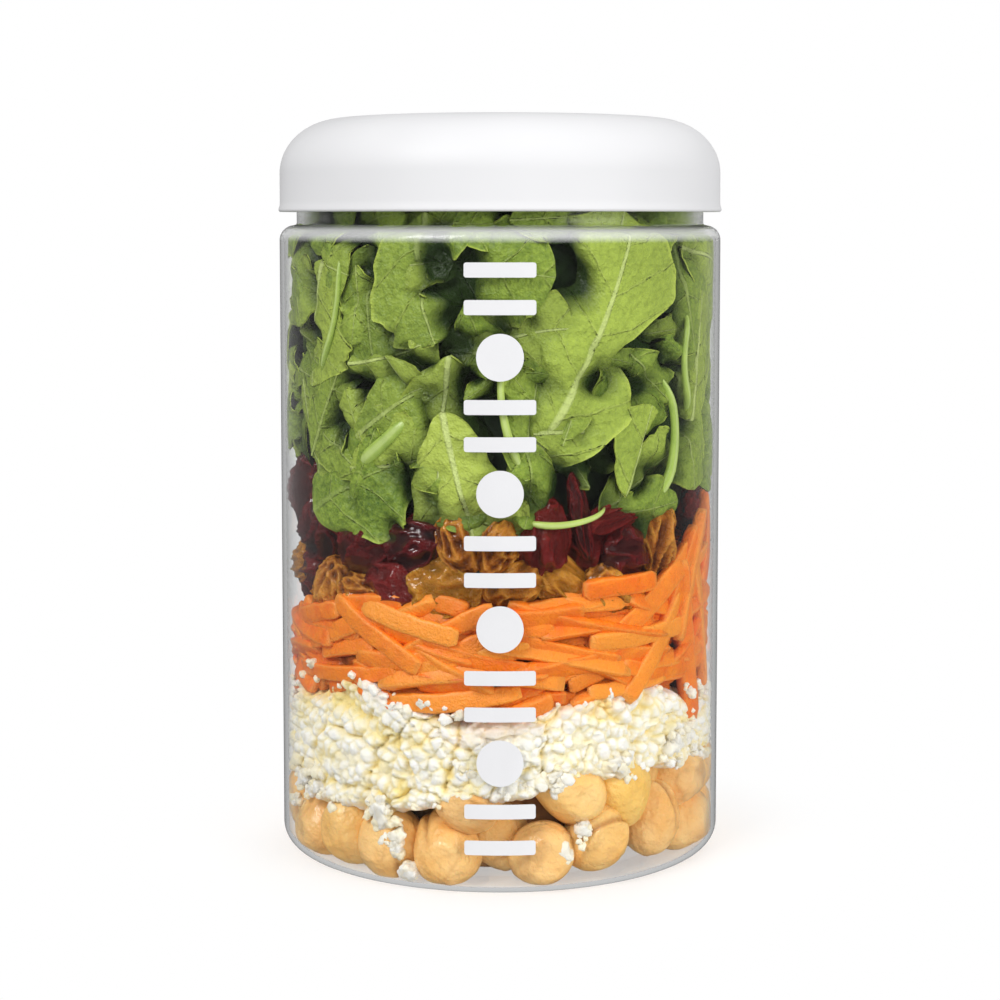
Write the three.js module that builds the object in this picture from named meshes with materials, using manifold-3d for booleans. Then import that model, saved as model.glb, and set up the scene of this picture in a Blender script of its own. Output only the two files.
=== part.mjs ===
// A layered Moroccan salad in a clear, straight-sided jar with a white screw lid.
// From the floor up: cooked chickpeas, crumbled feta, shredded carrots, dried fruit, rocket leaves.
// Millimetres, +Z up. The jar stands on z = 0, with its axis on the Z axis.

import * as THREE from 'three';
import { mergeVertices } from 'three/addons/utils/BufferGeometryUtils.js';
import Module from 'manifold-3d';

const wasm = await Module();
wasm.setup();

// ---- driving dimensions ----
const jarRadius = 46.5;
const overallHeight = 154;
const wall = 0.9;
const fitGap = 0.3; // air between touching solids

// ---- jar ----
const lidCornerHeight = 11.8;
const lidSideHeight = 8;
const lidRimZ = overallHeight - lidCornerHeight - lidSideHeight;
const neckRadius = jarRadius - 3.6;
const neckWall = 1.3;
const neckZ = lidRimZ - 2.8; // where the shoulder meets the neck
const mouthZ = lidRimZ + 12.2;
const shoulderRound = 3.1;
const shoulderZ = neckZ - shoulderRound; // where the straight wall ends
const heelRound = 4.4;
const innerHeelRound = heelRound - wall;
const punt = { radius: 31, lift: 1.2, slope: 2 }; // the floor's middle is raised, and a ring round it stands
const bodyInnerRadius = jarRadius - wall;
const neckInnerRadius = neckRadius - neckWall;

// ---- lid ----
const lidRadius = jarRadius - 0.1;
const lidWall = 1.3;
const lidTop = 1.7;
const lidCornerWidth = 13;
const lidCrown = 0.4; // the top panel rises this much to its centre
const rimFlare = { depth: 0.3, height: 1.1 };

// ---- screw thread ----
const thread = { pitch: 5, turns: 1.15, depth: 1.2, root: 1.9, crest: 0.9, steps: 34 };
const neckThreadZ = lidRimZ + 3;
const lidThreadZ = neckThreadZ + thread.pitch / 2;

// ---- facets ----
const potSectors = 44;
const heapSectors = 40;
const roundSteps = 3;
const cornerSteps = 6;
const heapRings = [0.34, 0.7, 1];

// ---- heaps ----
const heapRadius = bodyInnerRadius - fitGap - 0.1;
const neckApproach = 4; // the heap draws in over this height below the shoulder
const seamInset = 0.8; // two layers meet this far in from the widest radius
const seamEdge = heapRadius - seamInset;
const seamGap = 0.45; // and this far apart in height

// Where one layer ends and the next begins: the height at the axis, and at the wall in even steps
// round the jar, from the front (-Y) by way of +X.
const seams = {
  chickpeasTop: { axis: 19, wall: [20, 22, 22, 21, 19, 16, 17.5, 20, 18, 13, 14, 15] },
  fetaTop: { axis: 37, wall: [35.5, 39.5, 36, 31, 34, 39, 37, 41, 36, 31, 40, 38] },
  carrotsTop: { axis: 58, wall: [58, 58, 62, 67, 62, 57, 60, 55, 52, 49, 53, 57] },
  fruitTop: { axis: 73, wall: [71, 72.5, 74, 75, 76, 73, 71, 74, 77, 78, 75, 69.5] },
};

// ---- shapes ----

/** Points on a quarter ellipse about a centre, from one angle to another, in degrees. */
function arc(centreR, centreZ, radiusR, radiusZ, fromDegrees, toDegrees, steps) {
  const points = [];
  for (let i = 0; i <= steps; i += 1) {
    const angle = THREE.MathUtils.degToRad(fromDegrees + ((toDegrees - fromDegrees) * i) / steps);
    const r = centreR + radiusR * Math.cos(angle);
    const z = centreZ + radiusZ * Math.sin(angle);
    points.push(new THREE.Vector2(r, z));
  }
  return points;
}

/** A closed body of revolution about +Z from a profile of (radius, height) points. */
function turned(profile) {
  const geometry = new THREE.LatheGeometry(profile, potSectors);
  geometry.rotateX(Math.PI / 2);
  return geometry;
}

/** A closed body from rings of points, each ring a function of the angle that gives [radius, z]. */
function stackedRings(rings, bottomZ, topZ, sectors) {
  const positions = [0, 0, bottomZ];
  for (const ring of rings) {
    for (let s = 0; s < sectors; s += 1) {
      const angle = (2 * Math.PI * s) / sectors;
      const [r, z] = ring(angle);
      positions.push(r * Math.cos(angle), r * Math.sin(angle), z);
    }
  }
  positions.push(0, 0, topZ);
  const topIndex = 1 + rings.length * sectors;
  const at = (ring, s) => 1 + ring * sectors + (s % sectors);
  const indices = [];
  for (let s = 0; s < sectors; s += 1) {
    indices.push(0, at(0, s + 1), at(0, s));
    indices.push(topIndex, at(rings.length - 1, s), at(rings.length - 1, s + 1));
    for (let ring = 0; ring + 1 < rings.length; ring += 1) {
      indices.push(at(ring, s), at(ring, s + 1), at(ring + 1, s + 1));
      indices.push(at(ring, s), at(ring + 1, s + 1), at(ring + 1, s));
    }
  }
  const geometry = new THREE.BufferGeometry();
  geometry.setAttribute('position', new THREE.Float32BufferAttribute(positions, 3));
  geometry.setIndex(indices);
  geometry.computeVertexNormals();
  return geometry;
}

/** A helical ridge: root on rootRadius, standing out by depth (inward if depth is negative). */
function helicalRidge(rootRadius, depth, startZ) {
  const overlap = -0.4 * Math.sign(depth);
  const positions = [];
  for (let i = 0; i <= thread.steps; i += 1) {
    const share = i / thread.steps;
    const angle = 2 * Math.PI * thread.turns * share;
    const fade = Math.min(1, Math.sin(Math.PI * share) * 5);
    const crestRadius = rootRadius + depth * Math.max(0.1, fade);
    const z = startZ + thread.pitch * thread.turns * share;
    const section = [
      [rootRadius + overlap, z - thread.root / 2],
      [crestRadius, z - thread.crest / 2],
      [crestRadius, z + thread.crest / 2],
      [rootRadius + overlap, z + thread.root / 2],
    ];
    for (const [r, height] of section) {
      positions.push(r * Math.cos(angle), r * Math.sin(angle), height);
    }
  }
  const indices = [];
  const quad = (a, b, c, d) => {
    const corners = depth > 0 ? [a, b, c, a, c, d] : [a, c, b, a, d, c];
    indices.push(...corners);
  };
  for (let i = 0; i < thread.steps; i += 1) {
    for (let side = 0; side < 4; side += 1) {
      const next = (side + 1) % 4;
      quad(4 * i + side, 4 * i + 4 + side, 4 * i + 4 + next, 4 * i + next);
    }
  }
  quad(0, 1, 2, 3);
  const last = 4 * thread.steps;
  quad(last + 3, last + 2, last + 1, last);
  const geometry = new THREE.BufferGeometry();
  geometry.setAttribute('position', new THREE.Float32BufferAttribute(positions, 3));
  geometry.setIndex(indices);
  return geometry;
}

/** A three.js geometry as a solid of the boolean library. */
function toSolid(geometry) {
  const bare = geometry.clone();
  bare.deleteAttribute('normal');
  bare.deleteAttribute('uv');
  const merged = mergeVertices(bare);
  const corners = merged.index.array;
  const kept = [];
  for (let i = 0; i < corners.length; i += 3) {
    const [a, b, c] = [corners[i], corners[i + 1], corners[i + 2]];
    if (a !== b && b !== c && c !== a) kept.push(a, b, c);
  }
  const vertProperties = new Float32Array(merged.attributes.position.array);
  const triVerts = new Uint32Array(kept);
  return new wasm.Manifold(new wasm.Mesh({ numProp: 3, vertProperties, triVerts }));
}

/** A solid of the boolean library as a three.js geometry. */
function toGeometry(solid) {
  const mesh = solid.getMesh();
  const geometry = new THREE.BufferGeometry();
  geometry.setAttribute('position', new THREE.Float32BufferAttribute(mesh.vertProperties, 3));
  geometry.setIndex(new THREE.Uint32BufferAttribute(mesh.triVerts, 1));
  geometry.computeVertexNormals();
  return geometry;
}

function part(name, geometry, material) {
  const mesh = new THREE.Mesh(geometry, new THREE.MeshStandardMaterial(material));
  mesh.name = name;
  return mesh;
}

// ---- the jar: a blown shell with a rounded heel and shoulder, and a threaded neck ----

function jar() {
  const outer = [
    new THREE.Vector2(0, punt.lift),
    new THREE.Vector2(punt.radius, punt.lift),
    new THREE.Vector2(punt.radius + punt.slope, 0),
    ...arc(jarRadius - heelRound, heelRound, heelRound, heelRound, -90, 0, roundSteps),
    ...arc(jarRadius - shoulderRound, shoulderZ, shoulderRound, shoulderRound, 0, 90, roundSteps),
    new THREE.Vector2(neckRadius, neckZ),
    new THREE.Vector2(neckRadius, mouthZ - neckWall / 2),
    new THREE.Vector2(neckRadius - neckWall / 3, mouthZ),
  ];
  const innerShoulder = shoulderRound - wall;
  const inner = [
    new THREE.Vector2(neckInnerRadius, mouthZ),
    new THREE.Vector2(neckInnerRadius, shoulderZ + innerShoulder),
    ...arc(jarRadius - shoulderRound, shoulderZ, innerShoulder, innerShoulder, 90, 0, roundSteps),
    ...arc(
      bodyInnerRadius - innerHeelRound,
      wall + innerHeelRound,
      innerHeelRound,
      innerHeelRound,
      0,
      -90,
      roundSteps,
    ),
    new THREE.Vector2(punt.radius + punt.slope, wall),
    new THREE.Vector2(punt.radius, punt.lift + wall),
    new THREE.Vector2(0, punt.lift + wall),
  ];
  const shell = toSolid(turned([...outer, ...inner]));
  const ridge = toSolid(helicalRidge(neckRadius, thread.depth, neckThreadZ));
  const material = { color: 0xeef1f0, roughness: 0.06, transparent: true, opacity: 0.25 };
  return part('jar', toGeometry(shell.add(ridge)), material);
}

// ---- the lid: a smooth cap with a wide rounded corner, threaded inside its skirt ----

function lid() {
  const cornerZ = lidRimZ + lidSideHeight;
  const innerRadius = lidRadius - lidWall;
  const cornerR = lidRadius - lidCornerWidth;
  const cornerHeight = lidCornerHeight - lidCrown;
  const outer = [
    new THREE.Vector2(lidRadius + rimFlare.depth, lidRimZ),
    new THREE.Vector2(lidRadius + rimFlare.depth, lidRimZ + rimFlare.height / 2),
    new THREE.Vector2(lidRadius, lidRimZ + rimFlare.height),
    ...arc(cornerR, cornerZ, lidCornerWidth, cornerHeight, 0, 90, cornerSteps),
    new THREE.Vector2(0, overallHeight),
  ];
  const inner = [
    new THREE.Vector2(0, overallHeight - lidTop),
    ...arc(cornerR, cornerZ, innerRadius - cornerR, cornerHeight - lidTop, 90, 0, cornerSteps),
    new THREE.Vector2(innerRadius, lidRimZ),
  ];
  const rim = [new THREE.Vector2(lidRadius + rimFlare.depth, lidRimZ)];
  const cap = toSolid(turned([...inner, ...rim, ...outer.slice(1)]));
  const ridge = toSolid(helicalRidge(innerRadius, -thread.depth, lidThreadZ));
  return part('lid', toGeometry(cap.add(ridge)), { color: 0xf1f2f4, roughness: 0.3 });
}

// ---- the layers: each a closed heap that fills the jar from wall to wall ----

/** The height of the uneven seam between two layers, at a radius and angle. */
function seamHeight(seam, r, angle) {
  const count = seam.wall.length;
  const place = ((angle / (2 * Math.PI) + 0.25) % 1) * count;
  const index = Math.floor(place);
  const blend = THREE.MathUtils.smoothstep(place - index, 0, 1);
  const before = seam.wall[index % count];
  const after = seam.wall[(index + 1) % count];
  const atWall = THREE.MathUtils.lerp(before, after, blend);
  return THREE.MathUtils.lerp(seam.axis, atWall, (r / heapRadius) ** 2);
}

/** 0 to 1: rounded lumps in staggered rows round the jar, about one pitch apart. */
function lumps(angle, z, pitch) {
  const around = Math.round((2 * Math.PI * heapRadius) / pitch);
  const row = Math.floor(z / pitch);
  const across = (around * angle) / (2 * Math.PI) + 0.5 * (row % 2) + 0.13 * row;
  const u = across - Math.floor(across) - 0.5;
  const v = z / pitch - row - 0.5;
  return Math.max(0, 1 - 2.4 * (u * u + v * v));
}

/** 0 to 1: long strands lying nearly level, one above another. */
function strands(angle, z, pitch) {
  const wander = 0.6 * Math.sin(3 * angle) + 0.35 * Math.sin(7 * angle + 1);
  return 0.5 + 0.5 * Math.cos((2 * Math.PI * z) / pitch + 2 * Math.PI * wander);
}

/** 0 to 1: upright folds of leaves that lean as they rise. */
function folds(angle, z, pitch) {
  const count = Math.round((2 * Math.PI * heapRadius) / pitch);
  const lean = 0.9 * Math.sin(z / 17) + z / 40;
  return 0.5 + 0.3 * Math.cos(count * angle + lean) + 0.2 * Math.cos(z / 5 + 3 * angle);
}

/** The largest radius that clears the inside of the jar at a height. */
function clearRadius(z) {
  const heelTop = wall + innerHeelRound;
  if (z < heelTop) {
    const drop = Math.min(innerHeelRound, heelTop - z);
    const across = Math.sqrt(innerHeelRound ** 2 - drop ** 2);
    return heapRadius - innerHeelRound + across;
  }
  if (z < shoulderZ - neckApproach) return heapRadius;
  const neckFit = neckInnerRadius - fitGap - 0.1;
  const rise = Math.min(1, (z - shoulderZ + neckApproach) / neckApproach);
  return heapRadius + (neckFit - heapRadius) * rise;
}

/** One layer between two seams. relief(angle, z) of 1 reaches the wall, and of 0 lies depth inside it. */
function layer({ name, bottom, top, sideShares, relief, pitch, depth, material }) {
  const rings = [];
  for (const share of bottom.shares) {
    const r = share * bottom.edge;
    rings.push((angle) => [r, bottom.height(r, angle)]);
  }
  for (const share of sideShares) {
    rings.push((angle) => {
      const low = bottom.height(bottom.edge, angle);
      const z = low + share * (top.height(top.edge, angle) - low);
      return [clearRadius(z) - depth * (1 - relief(angle, z, pitch)), z];
    });
  }
  for (const share of [...top.shares].reverse()) {
    const r = share * top.edge;
    rings.push((angle) => [r, top.height(r, angle)]);
  }
  const body = stackedRings(rings, bottom.height(0, 0), top.height(0, 0), heapSectors);
  return part(name, body, material);
}

const seamFace = (seam, lift) => ({
  edge: seamEdge,
  shares: heapRings,
  height: (r, angle) => seamHeight(seam, r, angle) + lift,
});
const under = (seam) => seamFace(seam, 0);
const over = (seam) => seamFace(seam, seamGap);

// The chickpeas rest on the jar's floor, and follow its raised middle.
const floorEdge = bodyInnerRadius - innerHeelRound - 1;
const floorStep = [punt.radius + fitGap, punt.radius + punt.slope + fitGap];
const jarFloor = {
  edge: floorEdge,
  shares: [0.4, floorStep[0] / floorEdge, floorStep[1] / floorEdge, 1],
  height: (r) => wall + fitGap + (r < floorStep[0] + 0.01 ? punt.lift : 0),
};

// The leaves stop short of the lid, in a loose uneven top inside the neck.
const leafTop = {
  edge: neckInnerRadius - fitGap - 2.5,
  shares: heapRings,
  height: (r, angle) => {
    const lift = 2.2 * Math.cos(3 * angle + 0.7) * (r / heapRadius);
    return neckZ + 5 - 2 * (r / heapRadius) ** 2 + lift;
  },
};

const salad = new THREE.Group();
salad.add(jar());
salad.add(lid());
salad.add(layer({
  name: 'chickpeas',
  bottom: jarFloor,
  top: under(seams.chickpeasTop),
  sideShares: [0.14, 0.3, 0.5, 0.72, 0.88],
  relief: lumps,
  pitch: 13,
  depth: 2.6,
  material: { color: 0xe8b877, roughness: 0.45 },
}));
salad.add(layer({
  name: 'feta',
  bottom: over(seams.chickpeasTop),
  top: under(seams.fetaTop),
  sideShares: [0.1, 0.3, 0.5, 0.7, 0.9],
  relief: lumps,
  pitch: 11,
  depth: 1.8,
  material: { color: 0xf8f4e6, roughness: 0.6 },
}));
salad.add(layer({
  name: 'carrots',
  bottom: over(seams.fetaTop),
  top: under(seams.carrotsTop),
  sideShares: [0.1, 0.3, 0.5, 0.7, 0.9],
  relief: strands,
  pitch: 7,
  depth: 1.4,
  material: { color: 0xf07d1c, roughness: 0.5 },
}));
salad.add(layer({
  name: 'dried_fruit',
  bottom: over(seams.carrotsTop),
  top: under(seams.fruitTop),
  sideShares: [0.12, 0.35, 0.62, 0.88],
  relief: lumps,
  pitch: 14,
  depth: 2.4,
  material: { color: 0x6e2a1c, roughness: 0.35 },
}));
salad.add(layer({
  name: 'rocket_leaves',
  bottom: over(seams.fruitTop),
  top: leafTop,
  sideShares: [0.06, 0.2, 0.36, 0.52, 0.68, 0.8, 0.9, 0.95],
  relief: folds,
  pitch: 20,
  depth: 2.6,
  material: { color: 0x7fa03c, roughness: 0.55 },
}));

export default salad;
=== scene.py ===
"""Looks for a layered Moroccan salad in a clear screw-top jar.

The jar and lid are turned smooth. Each CAD layer is replaced by its separate pieces of food,
packed against the wall over a smaller core. Lengths are in millimetres until a mesh is built.
Bearings are degrees round the jar from its front (-Y), positive towards +X.
"""

import math

import bmesh
import bpy
import numpy as np
from mathutils import Euler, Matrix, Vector
from mathutils.kdtree import KDTree


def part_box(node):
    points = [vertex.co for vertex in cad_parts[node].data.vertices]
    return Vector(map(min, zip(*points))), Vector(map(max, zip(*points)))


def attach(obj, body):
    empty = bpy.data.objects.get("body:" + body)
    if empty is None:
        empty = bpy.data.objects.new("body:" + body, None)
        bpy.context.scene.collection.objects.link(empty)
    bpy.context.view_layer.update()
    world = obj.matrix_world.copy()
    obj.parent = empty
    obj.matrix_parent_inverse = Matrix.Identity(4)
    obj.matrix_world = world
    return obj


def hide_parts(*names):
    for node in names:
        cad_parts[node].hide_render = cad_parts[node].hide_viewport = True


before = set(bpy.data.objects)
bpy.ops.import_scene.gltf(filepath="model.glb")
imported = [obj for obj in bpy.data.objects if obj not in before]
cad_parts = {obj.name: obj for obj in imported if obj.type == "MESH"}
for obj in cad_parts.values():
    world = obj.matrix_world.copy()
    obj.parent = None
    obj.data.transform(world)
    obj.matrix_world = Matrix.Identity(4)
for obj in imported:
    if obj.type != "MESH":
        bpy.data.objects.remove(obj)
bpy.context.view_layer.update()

MM = 0.001

# ---- Sizes: the jar and lid from the frame, and the same few lengths as the CAD part ----

JAR_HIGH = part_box("jar")[1] / MM
LID_LOW, LID_HIGH = [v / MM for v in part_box("lid")]
JAR_RADIUS = JAR_HIGH.x
WALL = 0.9
NECK_RADIUS = JAR_RADIUS - 3.6
NECK_WALL = 1.3
NECK_Z = LID_LOW.z - 2.8
SHOULDER_ROUND = 3.1
SHOULDER_Z = NECK_Z - SHOULDER_ROUND
HEEL_ROUND = 4.4
PUNT_RADIUS = 31.0
PUNT_SLOPE = 2.0
PUNT_LIFT = 1.2
INNER_RADIUS = JAR_RADIUS - WALL
NECK_INNER = NECK_RADIUS - NECK_WALL
LID_RADIUS = LID_HIGH.x - 0.3
LID_WALL = 1.3
LID_TOP = 1.7
LID_SIDE = 8.0
LID_CORNER = 13.0
LID_CROWN = 0.4
SECTORS = 256

# The gap that pieces keep to the jar's inner wall, and the finer one of small soft pieces.
GAP = 0.1
SMALL_GAP = 0.08

# The golden share, which spreads numbered pieces evenly.
GOLDEN = 0.618


# ---- Mesh helpers ----


def new_object(name, data):
    """A new object in the scene."""
    made = bpy.data.objects.new(name, data)
    bpy.context.scene.collection.objects.link(made)
    return made


class Batch:
    """Many small bodies joined into one mesh, with a few numbers kept for each point."""

    def __init__(self):
        self.points = []
        self.faces = []
        self.values = {}
        self.count = 0

    def add(self, points, faces, **values):
        self.points.append(points)
        for group in faces:
            self.faces.extend((group + self.count).tolist())
        self.count += len(points)
        for key, value in values.items():
            full = np.broadcast_to(np.asarray(value, float), (len(points),))
            self.values.setdefault(key, []).append(full)

    def build(self, name, material, slot, replaces=(), smooth=True):
        mesh = bpy.data.meshes.new(name)
        points = np.concatenate(self.points) * MM
        mesh.from_pydata(points.tolist(), [], self.faces)
        mesh.polygons.foreach_set("use_smooth", [smooth] * len(mesh.polygons))
        for key, parts in self.values.items():
            attribute = mesh.attributes.new(key, "FLOAT", "POINT")
            attribute.data.foreach_set("value", np.concatenate(parts).astype(np.float32))
        mesh.validate()
        piece = new_object(name, mesh)
        piece.data.materials.append(material)
        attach(piece, "root")
        if replaces:
            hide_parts(*replaces)
        return piece


def grid_faces(rows, columns, wrap=False, loop=False, flip=False):
    """Quads of a grid of points in row order. wrap joins the last column to the first, and loop
    the last row to the first."""
    row = np.arange(rows if loop else rows - 1)[:, None] * columns
    above = (row + columns) % (rows * columns)
    column = np.arange(columns if wrap else columns - 1)[None, :]
    after = (column + 1) % columns
    corners = [row + column, row + after, above + after, above + column]
    quads = np.stack(corners, -1).reshape(-1, 4)
    return quads[:, ::-1] if flip else quads


def tube_faces(rows, columns, flip=False):
    """Faces of a tube of points, closed at its ends by the two middle points that follow them."""
    column = np.arange(columns)
    after = (column + 1) % columns
    last = (rows - 1) * columns
    middle = np.full(columns, rows * columns)
    start = np.stack([after, column, middle], -1)
    end = np.stack([last + column, last + after, middle + 1], -1)
    groups = [grid_faces(rows, columns, wrap=True), start, end]
    return [group[:, ::-1] for group in groups] if flip else groups


def ball(divisions):
    """Points and triangles of a round ball of radius 1."""
    made = bmesh.new()
    bmesh.ops.create_icosphere(made, subdivisions=divisions, radius=1.0)
    made.verts.ensure_lookup_table()
    points = np.array([v.co for v in made.verts])
    faces = np.array([[v.index for v in f.verts] for f in made.faces])
    made.free()
    return points, faces


# Random values on a lattice that repeats every way, for noise to run smoothly between.
LATTICE = np.random.default_rng(11).random((32, 32, 32))


def noise(points, size, offset=0.0):
    """Smooth noise from -1 to 1, in bumps about size across."""
    place = np.asarray(points, float) / size + offset + 500
    cell = np.floor(place).astype(int)
    f = place - cell
    f = f * f * (3 - 2 * f)
    total = 0.0
    for corner in np.ndindex(2, 2, 2):
        at = (cell + corner) % 32
        weight = np.prod(np.where(corner, f, 1 - f), axis=-1)
        total = total + weight * LATTICE[at[..., 0], at[..., 1], at[..., 2]]
    return 2 * total - 1


def turn_matrix(rng):
    """A random turn."""
    return np.array(Euler(rng.uniform(-math.pi, math.pi, 3)).to_matrix())


# ---- Places in the jar ----


def wall_point(bearing, r, z):
    """The point at a bearing in degrees, a radius and a height. Arrays work too."""
    angle = np.radians(bearing)
    return np.stack(np.broadcast_arrays(r * np.sin(angle), -r * np.cos(angle), z), -1)


def inner_radius(z):
    """The jar's inside radius at a height."""
    rise = np.clip((z - SHOULDER_Z) / (SHOULDER_ROUND - WALL), 0, 1)
    shoulder = INNER_RADIUS + (NECK_INNER - INNER_RADIUS) * (1 - np.sqrt(1 - rise**2))
    heel = HEEL_ROUND - WALL
    drop = np.clip((WALL + heel - z) / heel, 0, 1)
    return shoulder - heel * (1 - np.sqrt(1 - drop**2))


def floor_height(r):
    """The height of the jar's floor inside, at a radius."""
    return WALL + PUNT_LIFT * np.clip((PUNT_RADIUS + PUNT_SLOPE - r) / PUNT_SLOPE, 0, 1)


def behind_wall(bearing, across, depth, z):
    """The point so far along the wall from a bearing, and so far behind it."""
    return wall_point(bearing + np.degrees(across / INNER_RADIUS), inner_radius(z) - depth, z)


def pressed(depth, least, softness):
    """Depths behind the wall, eased so that none comes nearer than least."""
    return least + 0.5 * (depth + np.sqrt(depth**2 + softness))


def path_along(turn, length):
    """A line of points this long, about its own middle, that heads along each turn in radians."""
    step = length / (len(turn) - 1)
    u = np.cumsum(np.cos(turn)) * step
    v = np.cumsum(np.sin(turn)) * step
    return u - u.mean(), v - v.mean()


def keep_inside(points, gap):
    """Draws points in until they are a gap short of the jar's inner wall."""
    across = np.hypot(points[:, 0], points[:, 1])
    reach = inner_radius(points[:, 2]) - gap
    points[:, :2] *= (np.minimum(across, reach) / across)[:, None]


def seam_heights(node):
    """The height at the wall where a CAD layer ends above, as a function of the bearing."""
    points = np.array([v.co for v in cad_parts[node].data.vertices]) / MM
    across = np.hypot(points[:, 0], points[:, 1])
    rim = points[across > 0.93 * INNER_RADIUS]
    bearings = np.degrees(np.arctan2(rim[:, 0], -rim[:, 1]))
    steps = np.arange(-180, 180, 9)
    tops = []
    for step in steps:
        near = np.abs((bearings - step + 180) % 360 - 180) < 5
        tops.append(rim[near, 2].max())

    def height(bearing):
        return np.interp((np.asarray(bearing) + 180) % 360 - 180, steps, tops, period=360)

    return height


def shifted(seam, rise):
    """A seam moved up."""
    return lambda bearing: seam(bearing) + rise


def level(height):
    """A level seam."""
    return lambda bearing: height + 0 * bearing


CHICKPEAS_TOP = seam_heights("chickpeas")
FETA_TOP = seam_heights("feta")
CARROTS_TOP = seam_heights("carrots")
FRUIT_TOP = seam_heights("dried_fruit")


# How pieces are pushed apart: for how many rounds, how near they may come as a share of their
# radii, how strongly they push, and how strongly each is drawn back to its spot.
SETTLE_ROUNDS = 160
TOUCHING = 0.94
PUSH = 0.25
DRAW_BACK = 0.02


def settle(spots, radii, low, high, deep):
    """Pushes balls apart in the shell behind the wall. spots is (bearing, z) rows; deep is how far
    each lies behind the wall when it touches nothing. Each is drawn back a little to its spot."""
    points = wall_point(spots[:, 0], INNER_RADIUS - radii - deep, spots[:, 1])
    home = points.copy()
    for _ in range(SETTLE_ROUNDS):
        apart = points[:, None] - points[None]
        distance = np.linalg.norm(apart, axis=-1) + 1e-6
        wanted = TOUCHING * (radii[:, None] + radii[None])
        push = np.clip(wanted - distance, 0, None)
        np.fill_diagonal(push, 0)
        points = points + (apart / distance[..., None] * push[..., None] * PUSH).sum(1)
        points = points + DRAW_BACK * (home - points)
        across = np.hypot(points[:, 0], points[:, 1])
        reach = INNER_RADIUS - radii - GAP
        over = np.clip(across - reach, 0, None)[:, None]
        points[:, :2] -= points[:, :2] / across[:, None] * over
        bearing = np.degrees(np.arctan2(points[:, 0], -points[:, 1]))
        floor, roof = low(bearing) + radii, high(bearing) - radii
        points[:, 2] = np.clip(points[:, 2], floor, np.maximum(floor, roof))
    return points


# ---- Materials ----

# How bright the white surroundings are to each kind of ray, and to light inside the jar wall.
SURROUNDINGS = {
    "Is Camera Ray": 1.0,
    "Is Diffuse Ray": 0.68,
    "Is Glossy Ray": 0.05,
    "Is Transmission Ray": 0.8,
}
IN_WALL = 0.55

# How rough the jar's plastic is at the neck, and how much light it lets through at the shoulder,
# where the rest shows as a painted pale band.
NECK_BLUR = 0.2
SHOULDER_CLEAR = 0.75


def math_node(tree, operation, *sources):
    """One step of arithmetic in a material, from numbers and other outputs."""
    made = tree.nodes.new("ShaderNodeMath")
    made.operation = operation
    for socket, source in zip(made.inputs, sources):
        if isinstance(source, (int, float)):
            socket.default_value = source
        else:
            tree.links.new(source, socket)
    return made.outputs[0]


def strength_by_ray(tree):
    """The strength of the surroundings, picked by the kind of ray that meets them. Light turned
    back inside the jar's wall keeps part of the backdrop, so that the jar's rim stays pale."""
    path = tree.nodes.new("ShaderNodeLightPath")
    in_wall = math_node(tree, "COMPARE", path.outputs["Transmission Depth"], 1, 0.5)
    in_wall = math_node(tree, "MULTIPLY", in_wall, path.outputs["Is Glossy Ray"])
    strength = math_node(tree, "MULTIPLY", in_wall, IN_WALL)
    for ray, amount in SURROUNDINGS.items():
        strength = math_node(tree, "MULTIPLY_ADD", path.outputs[ray], amount, strength)
    return strength


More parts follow.
